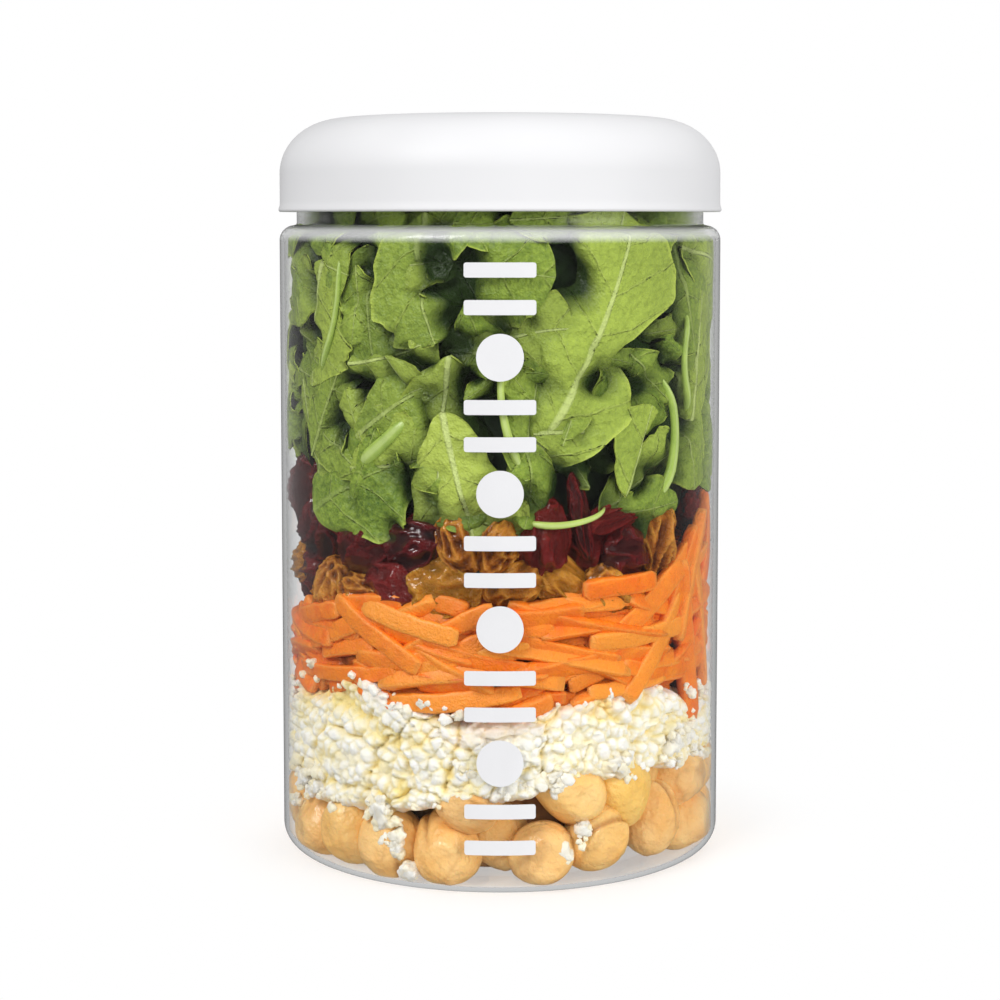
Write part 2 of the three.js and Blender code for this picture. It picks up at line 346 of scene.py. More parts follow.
class Shader:
    """Builds one material node by node."""

    def __init__(self, name):
        self.material = bpy.data.materials.new(name)
        self.material.use_nodes = True
        self.tree = self.material.node_tree
        self.principled = self.tree.nodes["Principled BSDF"]
        self.output = self.tree.nodes["Material Output"]
        self.position = self.node("ShaderNodeTexCoord").outputs["Object"]

    def node(self, kind, **settings):
        made = self.tree.nodes.new(kind)
        for key, value in settings.items():
            setattr(made, key, value)
        return made

    def link(self, source, target):
        self.tree.links.new(source, target)

    def set(self, **values):
        for key, value in values.items():
            self.principled.inputs[key.replace("_", " ")].default_value = value

    def noise(self, size, detail=3.0, rough=0.55):
        """Noise in bumps about size millimetres across."""
        made = self.node("ShaderNodeTexNoise")
        made.inputs["Scale"].default_value = 1 / (size * MM)
        made.inputs["Detail"].default_value = detail
        made.inputs["Roughness"].default_value = rough
        self.link(self.position, made.inputs["Vector"])
        return made.outputs["Fac"]

    def cells(self, size):
        """Rounded cells about size millimetres across."""
        made = self.node("ShaderNodeTexVoronoi")
        made.inputs["Scale"].default_value = 1 / (size * MM)
        self.link(self.position, made.inputs["Vector"])
        return made.outputs["Distance"]

    def value(self, name):
        """One of the numbers that a batch keeps for each point."""
        return self.node("ShaderNodeAttribute", attribute_name=name).outputs["Fac"]

    def math(self, operation, *sources):
        return math_node(self.tree, operation, *sources)

    def remap(self, source, low, high, to_low=0.0, to_high=1.0, curve="LINEAR"):
        made = self.node("ShaderNodeMapRange", clamp=True, interpolation_type=curve)
        self.link(source, made.inputs["Value"])
        ends = {"From Min": low, "From Max": high, "To Min": to_low, "To Max": to_high}
        for key, number in ends.items():
            made.inputs[key].default_value = number
        return made.outputs["Result"]

    def ramp(self, source, *stops):
        """Colours along source, each stop (place, (red, green, blue))."""
        made = self.node("ShaderNodeValToRGB")
        elements = made.color_ramp.elements
        while len(elements) < len(stops):
            elements.new(0.5)
        for element, (place, colour) in zip(elements, stops):
            element.position = place
            element.color = (*colour, 1)
        self.link(source, made.inputs["Fac"])
        return made.outputs["Color"]

    def patches(self, size, detail, dark, light, low=0.3, high=0.7):
        """Patches of two colours, about size millimetres across."""
        return self.ramp(self.noise(size, detail), (low, dark), (high, light))

    def mix(self, factor, a, b):
        made = self.node("ShaderNodeMix", data_type="RGBA")
        sockets = [s for s in made.inputs if s.type == "RGBA"]
        for socket, source in zip(sockets, (a, b)):
            if isinstance(source, tuple):
                socket.default_value = (*source, 1)
            else:
                self.link(source, socket)
        if isinstance(factor, float):
            made.inputs[0].default_value = factor
        else:
            self.link(factor, made.inputs[0])
        return [s for s in made.outputs if s.type == "RGBA"][0]

    def shade(self, base, name, low, high, most, colour):
        """A base that turns to a colour as a number kept for each point goes from low to high."""
        return self.mix(self.remap(self.value(name), low, high, 0, most), base, colour)

    def soften(self, weight, *depths):
        """Lets some light in, to these depths in millimetres for red, green and blue."""
        radius = [depth * MM for depth in depths]
        self.set(Subsurface_Weight=weight, Subsurface_Radius=radius, Subsurface_Scale=1.0)

    def blend(self, factor, a, b):
        """Two whole shaders mixed."""
        made = self.node("ShaderNodeMixShader")
        for socket, source in zip(made.inputs, (factor, a, b)):
            self.link(source, socket)
        return made.outputs["Shader"]

    def bump(self, *layers):
        """Bumps laid one over another, each (height source, depth in millimetres)."""
        normal = None
        for source, depth in layers:
            made = self.node("ShaderNodeBump")
            made.inputs["Strength"].default_value = 1.0
            made.inputs["Distance"].default_value = depth * MM
            self.link(source, made.inputs["Height"])
            if normal is not None:
                self.link(normal, made.inputs["Normal"])
            normal = made.outputs["Normal"]
        self.link(normal, self.principled.inputs["Normal"])

    def colour(self, source):
        self.link(source, self.principled.inputs["Base Color"])

    def surface(self, shader):
        self.link(shader, self.output.inputs["Surface"])


def clear_plastic():
    """Clear jar plastic. Light on its way to or from the food passes straight through."""
    s = Shader("clear_plastic")
    s.set(Base_Color=(0.985, 0.99, 0.99, 1), IOR=1.22, Transmission_Weight=1.0)
    height = s.node("ShaderNodeSeparateXYZ")
    s.link(s.position, height.inputs[0])
    z = height.outputs["Z"]
    blur = s.remap(z, SHOULDER_Z * MM, NECK_Z * MM, 0.0, NECK_BLUR)
    s.link(blur, s.principled.inputs["Roughness"])
    # At the shoulder a quarter of the plastic turns white and opaque: a painted pale band, as where
    # the shoulder catches the light.
    full, part = (1.0, 1.0, 1.0), (SHOULDER_CLEAR,) * 3
    band = s.remap(z, (SHOULDER_Z - 1) * MM, (NECK_Z + 1) * MM)
    painted_shoulder_band = s.ramp(band, (0.15, full), (0.4, part), (0.65, part), (0.8, full))
    s.link(painted_shoulder_band, s.principled.inputs["Transmission Weight"])
    path = s.node("ShaderNodeLightPath")
    through = s.node("ShaderNodeBsdfTransparent")
    through.inputs["Color"].default_value = (0.97, 0.975, 0.975, 1)
    straight = through.outputs["BSDF"]
    clear = s.principled.outputs["BSDF"]
    shader = clear
    for ray, chosen in (
        ("Is Glossy Ray", straight),
        ("Is Transmission Ray", clear),
        ("Is Shadow Ray", straight),
        ("Is Diffuse Ray", straight),
    ):
        shader = s.blend(path.outputs[ray], shader, chosen)
    s.surface(shader)
    return s.material


def white_lid_plastic():
    s = Shader("white_lid_plastic")
    s.set(Roughness=0.5, Specular_IOR_Level=0.3)
    s.colour(s.patches(30, 2, (0.66, 0.66, 0.672), (0.685, 0.685, 0.695)))
    s.bump((s.noise(0.5, 2), 0.004), (s.noise(18, 1), 0.05))
    return s.material


def print_ink():
    s = Shader("print_ink")
    s.set(Roughness=0.45)
    s.colour(s.patches(6, 3, (0.695, 0.695, 0.71), (0.715, 0.715, 0.73)))
    s.bump((s.noise(0.4, 2), 0.01))
    return s.material


def chickpea_skin():
    s = Shader("chickpea_skin")
    s.set(Roughness=0.32, Coat_Weight=0.35, Coat_Roughness=0.12)
    s.soften(0.15, 4, 2, 1)
    fine = s.patches(4.5, 4, (0.84, 0.42, 0.12), (1.0, 0.63, 0.26))
    broad = s.patches(11, 2, (0.82, 0.4, 0.11), (1.0, 0.67, 0.31), 0.35, 0.65)
    tinted = s.mix(s.value("tint"), s.mix(0.5, fine, broad), (0.9, 0.6, 0.09))
    # Painted shade: darker brown along the crease and in the skin's folds.
    s.colour(s.mix(s.value("crease"), tinted, (0.42, 0.17, 0.04)))
    s.bump((s.noise(3.4, 3), 1.0), (s.noise(1.3, 4), 0.35), (s.noise(0.3, 2), 0.04))
    return s.material


def feta_cheese():
    s = Shader("feta_cheese")
    s.set(Roughness=0.55)
    s.soften(0.3, 2.2, 2, 1.5)
    white = s.patches(2.0, 4, (1.0, 0.94, 0.8), (1.0, 0.97, 0.9), 0.3, 0.6)
    # Painted warm shade in the gaps, with random yellower tone.
    shade_and_tone_colour = s.shade(white, "hollow", 0.03, 0.5, 1.0, (1.0, 0.8, 0.34))
    s.colour(s.mix(s.value("stain"), shade_and_tone_colour, (0.97, 0.42, 0.15)))
    s.bump((s.noise(1.1, 5, 0.7), 0.35), (s.noise(0.35, 3), 0.1))
    return s.material


def carrot_flesh():
    s = Shader("carrot_flesh")
    s.set(Roughness=0.4, Coat_Weight=0.15, Coat_Roughness=0.25)
    s.soften(0.1, 4, 1.5, 0.5)
    body = s.patches(3.2, 4, (0.9, 0.14, 0.002), (1.0, 0.24, 0.004))
    toned = s.mix(s.value("tint"), body, (1.0, 0.33, 0.03))
    # Lighter along the corners and at the cut ends: painted highlight where the edges catch the
    # light, and the paler cut flesh.
    edged = s.shade(toned, "edge", 0.3, 1.0, 0.5, (1.0, 0.46, 0.1))
    # Painted shade: darker the further the shred lies behind the wall.
    s.colour(s.shade(edged, "behind", 1.4, 5.5, 0.9, (0.34, 0.03, 0.001)))
    s.bump((s.noise(1.4, 3), 0.5), (s.noise(0.35, 3), 0.15))
    return s.material


def raisin_skin():
    s = Shader("raisin_skin")
    s.set(Roughness=0.25, Coat_Weight=0.7, Coat_Roughness=0.08)
    s.soften(0.2, 4, 1.5, 0.4)
    # Painted shade and highlight: dark down in the folds, light on their crests.
    crest = s.ramp(
        s.value("crest"),
        (0.15, (0.12, 0.025, 0.002)),
        (0.5, (0.38, 0.11, 0.007)),
        (0.95, (0.72, 0.3, 0.04)),
    )
    s.colour(s.mix(s.value("tint"), crest, (0.55, 0.25, 0.015)))
    s.bump((s.noise(1.6, 4, 0.6), 2.2), (s.noise(0.5, 3), 0.2))
    return s.material


def cranberry_skin():
    s = Shader("cranberry_skin")
    s.set(Roughness=0.22, Coat_Weight=0.9, Coat_Roughness=0.06)
    # Painted shade: darker down in the folds, lighter on the crests.
    dark = s.ramp(s.value("crest"), (0.25, (0.004, 0.001, 0.002)), (0.9, (0.12, 0.006, 0.008)))
    s.colour(s.mix(s.value("tint"), dark, (0.3, 0.018, 0.012)))
    s.bump((s.noise(1.8, 4, 0.6), 2.2), (s.noise(0.5, 3), 0.2))
    return s.material


def leaf_skin():
    """A rocket leaf: pale midrib and faint side veins, and a finely grained blade.
    Painted highlight pales its margin, and painted shade darkens it the further it lies behind the
    wall.
    """
    s = Shader("leaf_skin")
    s.set(Roughness=0.42, Specular_IOR_Level=0.3)
    broad = s.patches(12, 3, (0.07, 0.14, 0.015), (0.3, 0.42, 0.05))
    grain = s.patches(0.9, 4, (0.05, 0.11, 0.013), (0.35, 0.46, 0.06))
    toned = s.mix(s.value("tint"), s.mix(0.5, broad, grain), (0.5, 0.6, 0.1))
    wander = s.math("MULTIPLY", s.noise(12, 2), 0.5)
    line = s.math("FRACT", s.math("ADD", s.value("vein"), wander))
    away = s.math("ABSOLUTE", s.math("SUBTRACT", line, 0.5))
    side_vein = s.remap(away, 0.045, 0.0)
    rib_width = s.math("ADD", s.math("MULTIPLY", s.value("along"), -0.65), 0.85)
    midrib = s.remap(s.math("DIVIDE", s.value("rib"), rib_width), 1.0, 0.5)
    veined = s.mix(s.math("MULTIPLY", side_vein, 0.26), toned, (0.55, 0.65, 0.17))
    rib_strength = s.remap(s.value("tint"), 0.0, 0.5, 0.15, 0.8)
    ribbed = s.mix(s.math("MULTIPLY", midrib, rib_strength), veined, (0.58, 0.67, 0.24))
    # Painted highlight: the outer part of the blade turns pale yellow-green, as edges that catch the
    # light.
    edged = s.shade(ribbed, "edge", 0.9, 1.0, 0.7, (0.52, 0.63, 0.1))
    # Painted shade: the blade turns near black the further it lies behind the wall.
    s.colour(s.shade(edged, "behind", 0.7, 3.6, 0.97, (0.012, 0.03, 0.006)))
    raised = s.math("MAXIMUM", side_vein, midrib)
    s.bump((s.noise(3.5, 3), 0.8), (raised, 0.25), (s.cells(1.9), 0.45), (s.cells(0.5), 0.15))
    return s.material


def leaf_stem():
    """A stalk: green, with a pale stripe along its outer side."""
    s = Shader("leaf_stem")
    s.set(Roughness=0.35, Coat_Weight=0.2, Coat_Roughness=0.2)
    body = s.patches(3, 3, (0.16, 0.3, 0.025), (0.32, 0.48, 0.06))
    toned = s.mix(s.value("tint"), body, (0.55, 0.66, 0.16))
    s.colour(s.shade(toned, "stripe", 0.8, 1.0, 0.5, (0.6, 0.7, 0.3)))
    s.bump((s.noise(0.8, 3), 0.12))
    return s.material


def shaded_core(name, dark, light, size):
    """What shows in the gaps between the pieces of a layer, in colours darker than the food: painted
    shade.
    """
    s = Shader(name)
    s.set(Roughness=0.7)
    s.colour(s.patches(size, 3, dark, light, 0.35, 0.65))
    s.bump((s.noise(size / 2, 3), 0.6))
    return s.material


def floor_white():
    """A pale floor that fades to the white of the backdrop away from the jar."""
    s = Shader("floor_white")
    s.set(Base_Color=(0.93, 0.93, 0.93, 1), Roughness=0.8)
    s.bump((s.noise(4, 2), 0.01))
    away = s.node("ShaderNodeVectorMath", operation="LENGTH")
    s.link(s.position, away.inputs[0])
    # Painted light: near the jar the floor glows in part, which keeps its shadow pale and lights the
    # jar's foot; further out it glows as white as the backdrop.
    fade = s.remap(away.outputs["Value"], 0.04, 0.08, 0.6, 1.0, "SMOOTHSTEP")
    glow = s.node("ShaderNodeEmission")
    s.link(strength_by_ray(s.tree), glow.inputs["Strength"])
    s.surface(s.blend(fade, s.principled.outputs["BSDF"], glow.outputs["Emission"]))
    return s.material


# ---- Jar, lid and print ----


def arc(centre_r, centre_z, radius_r, radius_z, start, end, steps=12):
    """Points of a profile along an oval arc, from one angle to another in degrees."""
    turn = np.radians(np.linspace(start, end, steps + 1))
    return [(centre_r + radius_r * math.cos(a), centre_z + radius_z * math.sin(a)) for a in turn]


def turned(name, profile, material, slot, replaces):
    """A smooth body of revolution from a profile that starts and ends on the axis."""
    ring = np.array(profile[1:-1])
    angle = np.linspace(0, 2 * math.pi, SECTORS, endpoint=False)
    x = ring[:, :1] * np.cos(angle)
    y = ring[:, :1] * np.sin(angle)
    z = np.broadcast_to(ring[:, 1:], x.shape)
    points = np.stack([x, y, z], -1).reshape(-1, 3)
    ends = [(0, 0, profile[0][1]), (0, 0, profile[-1][1])]
    batch = Batch()
    batch.add(np.concatenate([points, ends]), tube_faces(len(ring), SECTORS))
    return batch.build(name, material, slot, replaces)


def make_jar():
    """The clear jar, from the middle of its foot up the outside and down the inside."""
    mouth = JAR_HIGH.z
    body = JAR_RADIUS - SHOULDER_ROUND
    heel = JAR_RADIUS - HEEL_ROUND
    punt = [
        (0, PUNT_LIFT),
        (PUNT_RADIUS - 1, PUNT_LIFT),
        (PUNT_RADIUS, PUNT_LIFT - 0.1),
        (PUNT_RADIUS + PUNT_SLOPE, 0.1),
        (PUNT_RADIUS + PUNT_SLOPE + 1, 0),
    ]
    outer = [
        *punt,
        *arc(heel, HEEL_ROUND, HEEL_ROUND, HEEL_ROUND, -90, 0),
        *arc(body, SHOULDER_Z, SHOULDER_ROUND, SHOULDER_ROUND, 0, 84),
        (NECK_RADIUS + 0.12, NECK_Z + 0.15),
        (NECK_RADIUS, NECK_Z + 0.5),
        (NECK_RADIUS, mouth - 0.6),
        (NECK_RADIUS - 0.4, mouth),
    ]
    inner_round = SHOULDER_ROUND - WALL
    inner_heel = HEEL_ROUND - WALL
    inner = [
        (NECK_INNER, mouth),
        (NECK_INNER, SHOULDER_Z + inner_round + 0.4),
        (NECK_INNER + 0.15, SHOULDER_Z + inner_round + 0.05),
        *arc(body, SHOULDER_Z, inner_round, inner_round, 84, 0),
        *arc(heel, WALL + inner_heel, inner_heel, inner_heel, 0, -90),
        *[(r, z + WALL) for r, z in reversed(punt)],
    ]
    return turned("jar_clear", outer + inner, clear_plastic(), "jar_clear", ["jar"])


def make_lid():
    """The lid, from the middle of its inside down to the rim and back up the outside."""
    low, top = LID_LOW.z, LID_HIGH.z
    corner_z = low + LID_SIDE
    corner_r = LID_RADIUS - LID_CORNER
    corner_height = top - LID_CROWN - corner_z
    inside = LID_RADIUS - LID_WALL
    rim = LID_HIGH.x
    inner = [
        (0, top - LID_TOP),
        *arc(corner_r, corner_z, inside - corner_r, corner_height - LID_TOP, 90, 0),
        (inside, low + 0.3),
        (inside + 0.25, low),
    ]
    outer = [
        (rim - 0.3, low),
        (rim, low + 0.3),
        (rim, low + 0.6),
        (LID_RADIUS + 0.06, low + 1.3),
        (LID_RADIUS, low + 2.2),
        *arc(corner_r, corner_z, LID_CORNER, corner_height, 0, 90, 28),
        (corner_r * 0.5, top - LID_CROWN * 0.4),
        (0, top),
    ]
    return turned("lid_smooth", inner + outer, white_lid_plastic(), "lid_white", ["lid"])


def print_shape(batch, centre_z, half_wide, half_tall, rounding):
    """A thin slab with rounded corners that follows the wall, in narrow upright strips."""
    strips = 40
    x = half_wide * np.sin(np.linspace(-math.pi / 2, math.pi / 2, strips))
    past = np.clip(np.abs(x) - (half_wide - rounding), 0, rounding)
    tall = half_tall - rounding + np.sqrt(rounding**2 - past**2)
    angle = np.degrees(x / JAR_RADIUS)
    corners = [(1, 0.1), (-1, 0.1), (-1, 0.02), (1, 0.02)]
    rings = [wall_point(angle, JAR_RADIUS + lift, centre_z + up * tall) for up, lift in corners]
    points = np.stack(rings, 1).reshape(-1, 3)
    last = 4 * (strips - 1)
    ends = np.array([[3, 2, 1, 0], [last, last + 1, last + 2, last + 3]])
    batch.add(points, [grid_faces(strips, 4, wrap=True), ends])


def make_print():
    """A plain upright row of paired bars and dots, printed on the front of the jar."""
    low, high, motifs = 7.0, 126.0, 9
    bar_half_wide, bar_half_tall, bar_apart = 7.0, 1.45, 3.6
    dot_radius = 4.6
    step = (high - low) / motifs
    batch = Batch()
    for i in range(motifs):
        centre = low + (i + 0.5) * step
        if i % 2 == 0:
            for side in (-1, 1):
                print_shape(batch, centre + side * bar_apart, bar_half_wide, bar_half_tall, 0.5)
        else:
            print_shape(batch, centre, dot_radius, dot_radius, dot_radius - 0.01)
    return batch.build("front_print", print_ink(), "print_white", smooth=False)


# ---- Chickpeas ----

PEA_RADIUS = 7.0

# The peas touch as if they were this much smaller, so that they press flat on wall and floor.
PRESSED = 0.86

# The peas round the back stand in rows, one above the other.
BACK_PEA_ROWS = 2
BACK_PEA_BEARINGS = np.arange(100, 262, 20.0)

# The peas that show at the front: bearing, height of the middle, how far behind the wall.
FRONT_PEAS = [
    (-72, 7, 0), (-53, 8.5, 0), (-34, 7.5, 0), (-14.6, 6.8, 0), (-10, 17.5, 1.0), (1.5, 9.5, 6),
    (10.9, 7.2, 0), (27.5, 8.4, 0.5), (22.3, 19.5, 0), (39, 19.0, 0), (51, 11, 1.0), (61.6, 17, 0),
    (57, 25.5, 1.5), (80, 14, 0), (70, 7, 0.5), (90, 7.5, 0), (-92, 7.5, 0), (-84, 18, 0),
    (-64, 18.5, 1.0),
]


def pea_shape(points, rng):
    """A cooked chickpea: a blunt ball with a beak, a crease that runs to it, and loose skin."""
    beak = np.exp(-(((points[:, 0] - 1) / 0.3) ** 2))
    crease = np.exp(-((points[:, 1] / 0.09) ** 2)) * np.clip(points[:, 0] + 0.2, 0, 1)
    back = np.exp(-((points[:, 1] / 0.25) ** 2)) * np.clip(-points[:, 0], 0, 1)
    lump = noise(points, 0.9, rng.uniform(0, 20))
    warp = points + 0.35 * noise(points, 0.7, rng.uniform(0, 20))[:, None]
    fold = np.clip(1 - np.abs(noise(warp, 1.15, rng.uniform(0, 20))) / 0.1, 0, 1)
    size = 1 + 0.2 * beak - 0.13 * crease + 0.05 * back + 0.09 * lump + 0.035 * fold
    # The second result marks the crease and the folds, for the painted shade.
    return points * size[:, None] * (1.0, 0.95, 0.93), np.maximum(crease, 0.4 * fold)


def make_chickpeas(rng):
    """Placed peas in front and two rings of them round the back, pushed apart and pressed flat."""
    spots, sizes, depths = [], [], []
    for bearing, z, deep in FRONT_PEAS:
        spots.append((bearing, z))
        sizes.append(PEA_RADIUS * rng.uniform(0.96, 1.05))
        depths.append(deep)
    for row in range(BACK_PEA_ROWS):
        for bearing in BACK_PEA_BEARINGS:
            spots.append((bearing + 9 * row, PEA_RADIUS + 1 + row * 10))
            sizes.append(PEA_RADIUS * rng.uniform(0.93, 1.04))
            depths.append(rng.uniform(0, 1))
    spots, sizes, depths = np.array(spots), np.array(sizes), np.array(depths)
    places = settle(spots, PRESSED * sizes, level(WALL), shifted(CHICKPEAS_TOP, 4.0), depths)
    fine, coarse = ball(5), ball(4)
    batch = Batch()
    for i, (place, size) in enumerate(zip(places, sizes)):
        unit, faces = fine if i < len(FRONT_PEAS) else coarse
        shape, crease = pea_shape(unit, rng)
        body = size * shape @ turn_matrix(rng).T + place
        across = np.hypot(body[:, 0], body[:, 1])
        body[:, 2] = np.maximum(body[:, 2], floor_height(across) + 0.05)
        keep_inside(body, GAP)
        yellow = 0.45 if i % 10 == 9 else rng.uniform(0, 0.2)
        batch.add(body, [faces], tint=yellow, crease=0.8 * crease)
    return batch.build("chickpeas_whole", chickpea_skin(), "chickpea", ["chickpeas"])


# ---- Feta ----


def cell_relief(points, centres):
    """For each point: the distance to its nearest centre, to the next one, and which is nearest."""
    tree = KDTree(len(centres))
    for i, centre in enumerate(centres):
        tree.insert(centre, i)
    tree.balance()
    found = [tree.find_n(p, 2) for p in points]
    nearest = np.array([f[0][2] for f in found])
    second = np.array([f[1][2] for f in found])
    which = np.array([f[0][1] for f in found])
    return nearest, second, which


# Where the feta stands up into the carrots: bearing, rise, spread in degrees.
FETA_MOUNDS = [(-40, 4.5, 11), (-60, -2.0, 8), (-12, -2.0, 10), (42, 1.8, 12)]

FETA_COLUMNS, FETA_ROWS = 780, 96
FETA_RADIUS = INNER_RADIUS - 1.5


def feta_centres(pitch, rng):
    """Middles of grains about pitch apart, in a band behind the wall."""
    count = int(2 * math.pi * INNER_RADIUS * 46 * 5 / pitch**3)
    return wall_point(
        rng.uniform(-180, 180, count),
        FETA_RADIUS + rng.uniform(-2.5, 2.5, count),
        rng.uniform(2, 48, count),
    )


def feta_relief(flat, rng):
    """How far the mass lies back at each point, and how yellow it is there: painted warm shade in
    the gaps and on set-back lumps, with random yellower patches.
    Lumps sit on lumps: grains of 2 mm on crumbs of 9 mm, each set back by its own amount."""
    warped = flat + 0.9 * np.stack([noise(flat, 2.2, k) for k in (1.0, 4.0, 9.0)], -1)
    big_near, big_next, big_which = cell_relief(warped, feta_centres(9.0, rng))
    grain_flat = flat + 0.3 * (warped - flat)
    grain_near, grain_next, grain_which = cell_relief(grain_flat, feta_centres(2.3, rng))
    big_back = rng.uniform(0, 1.8, big_which.max() + 1)[big_which]
    grain_back = rng.uniform(0, 0.9, grain_which.max() + 1)[grain_which]
    big_gap = np.clip(1 - (big_next - big_near) / 2.0, 0, 1) ** 1.5
    grain_gap = np.clip(1 - (grain_next - grain_near) / 0.7, 0, 1)
    grain_round = np.clip(grain_near / 1.6, 0, 1) ** 2
    rough = 0.35 * noise(flat, 0.9, 3) + 0.2 * noise(flat, 0.5, 7)
    gaps = 1.3 * big_gap + 0.35 * grain_gap
    depth = big_back + grain_back + gaps + 0.8 * grain_round + rough - 1.1
    sour = np.clip(noise(flat, 5, 21), 0, 1)
    # Painted warm shade: yellower in the gaps between crumbs and grains and on lumps set further
    # back, with random yellower patches as well.
    hollow = 0.3 * (big_gap + grain_gap) + 0.12 * big_back + 0.4 * sour - 0.15
    return depth, np.clip(hollow, 0, 1)


def make_feta(rng):
    """The pressed mass of crumbs behind the wall, as a tube with a rough outer side."""
    bearing = np.linspace(-180, 180, FETA_COLUMNS, endpoint=False)[None, :]
    share = np.linspace(0, 1, FETA_ROWS)[:, None]
    low = CHICKPEAS_TOP(bearing) - 1.5 + 1.3 * noise(wall_point(bearing, 46, 0), 5)
    high = FETA_TOP(bearing) + 0.5 + 1.3 * noise(wall_point(bearing, 46, 30), 4)
    for place, rise, spread in FETA_MOUNDS:
        high = high + rise * np.exp(-(((bearing - place) / spread) ** 2))
    z = low + share * (high - low)
    flat = wall_point(bearing, FETA_RADIUS, z).reshape(-1, 3)
    depth, hollow = feta_relief(flat, rng)
    round_ends = 5 * np.clip(1 - 7 * np.minimum(share, 1 - share), 0, 1) ** 2
    depth = pressed(depth.reshape(z.shape) + round_ends, 0.06, 0.15)
    front = wall_point(bearing, INNER_RADIUS - depth, z)
    back = wall_point(bearing, INNER_RADIUS - 9, z[[-1, 0]])
    patch = np.clip(0.5 + 0.9 * noise(flat, 7, 5), 0, 1)
    stain = 0.5 * np.clip(1 - (high - z).reshape(-1) / 6, 0, 1) * patch
    unseen = np.zeros(2 * FETA_COLUMNS)
    batch = Batch()
    batch.add(
        np.concatenate([front, back]).reshape(-1, 3),
        [grid_faces(FETA_ROWS + 2, FETA_COLUMNS, wrap=True, loop=True)],
        hollow=np.concatenate([hollow, unseen + 1]),
        stain=np.concatenate([stain, unseen]),
    )
    return batch.build("feta_mass", feta_cheese(), "feta", ["feta"])


def crumb_shape(points, rng):
    """A loose crumb: an uneven ball of coarse grain."""
    lump = noise(points, 0.8, rng.uniform(0, 30))
    grain = noise(points, 0.4, rng.uniform(0, 30))
    size = 1 + 0.35 * lump + 0.28 * grain
    return points * size[:, None] * rng.uniform(0.7, 1.2, 3)


# Loose crumbs that have fallen over the peas: bearing, height, spread across, spread up, how many.
CRUMB_FALLS = [
    (-32, 15, 3.0, 4.0, 26), (-29, 9, 2.4, 2.5, 14), (-24, 3.6, 2.2, 1.2, 9), (22, 12, 1.4, 4.0, 10),
    (17, 8, 1.0, 2.0, 4), (14, 22, 4.0, 2.5, 20), (33, 25, 3.0, 2.0, 12), (55, 27, 6.0, 2.5, 16),
    (-62, 17, 10.0, 3.0, 26), (-8, 25, 6.0, 2.0, 12), (-75, 12, 3.0, 3.0, 6),
]

# The crumbs along the two edges of the feta.
EDGE_CRUMBS = 220


def make_crumbs(rng):
    """Loose crumbs: along both edges of the feta, and in falls over the chickpeas."""
    unit, faces = ball(3)
    batch = Batch()

    def crumb(bearing, z, size, deep):
        body = size * crumb_shape(unit, rng) @ turn_matrix(rng).T
        body = body + wall_point(bearing, inner_radius(z) - size * 0.8 - deep, z)
        keep_inside(body, SMALL_GAP)
        batch.add(body, [faces], hollow=rng.uniform(0, 0.3), stain=0.0)

    for bearing, z, across, up, count in CRUMB_FALLS:
        for _ in range(count):
            spot = bearing + np.degrees(rng.normal(0, across / 2) / INNER_RADIUS)
            height = max(z + rng.normal(0, up / 2), WALL + 1)
            crumb(spot, height, rng.uniform(0.35, 1.0) ** 2 * 1.7 + 0.3, rng.uniform(0, 1.2))
    for i in range(EDGE_CRUMBS):
        bearing = rng.uniform(-100, 100) if i % 3 else rng.uniform(100, 260)
        seam = FETA_TOP(bearing) if i % 2 else CHICKPEAS_TOP(bearing) + 0.5
        crumb(bearing, seam + rng.normal(0, 1.0), rng.uniform(0.35, 1.2), rng.uniform(0, 1.5))
    return batch.build("feta_crumbs", feta_cheese(), "feta")


# ---- Carrots ----

# Shreds that show at the front: bearing and height of the middle, length, lean in degrees, width.
FRONT_SHREDS = [
    (-8, 43, 40, 2, 4.3), (12, 47.5, 38, -10, 4.0), (28, 45.5, 38, 4, 4.4), (-22, 47, 30, 8, 4.0),
    (25, 52.5, 38, -13, 4.2), (-34, 50.5, 24, -30, 4.0), (-14, 52, 22, 28, 3.8), (8, 55, 22, 4, 4.0),
    (43, 56, 38, 33, 4.6), (54, 56, 32, 58, 4.4), (62, 60, 28, 66, 4.2), (60, 46, 36, -78, 4.4),
    (70, 50, 32, -72, 4.0), (45, 47, 26, 50, 3.8), (33, 60.5, 18, 2, 4.0), (-48, 50, 22, 20, 4.0),
    (-62, 49, 20, -8, 3.8), (-70, 44, 20, 8, 3.8), (80, 66, 22, 52, 4.0), (-36, 56.5, 16, 6, 4.2),
    (-56, 53, 16, 12, 3.8), (-24, 53.5, 22, -14, 4.0), (40, 50, 26, 2, 3.8), (-12, 38.5, 28, 6, 3.8),
]

# The shreds behind and between them, all round the jar.
INNER_SHREDS = 340


def squared(wave):
    """A wave with flatter crests, so that a circle becomes a square with soft corners."""
    return np.sign(wave) * np.abs(wave) ** 0.4


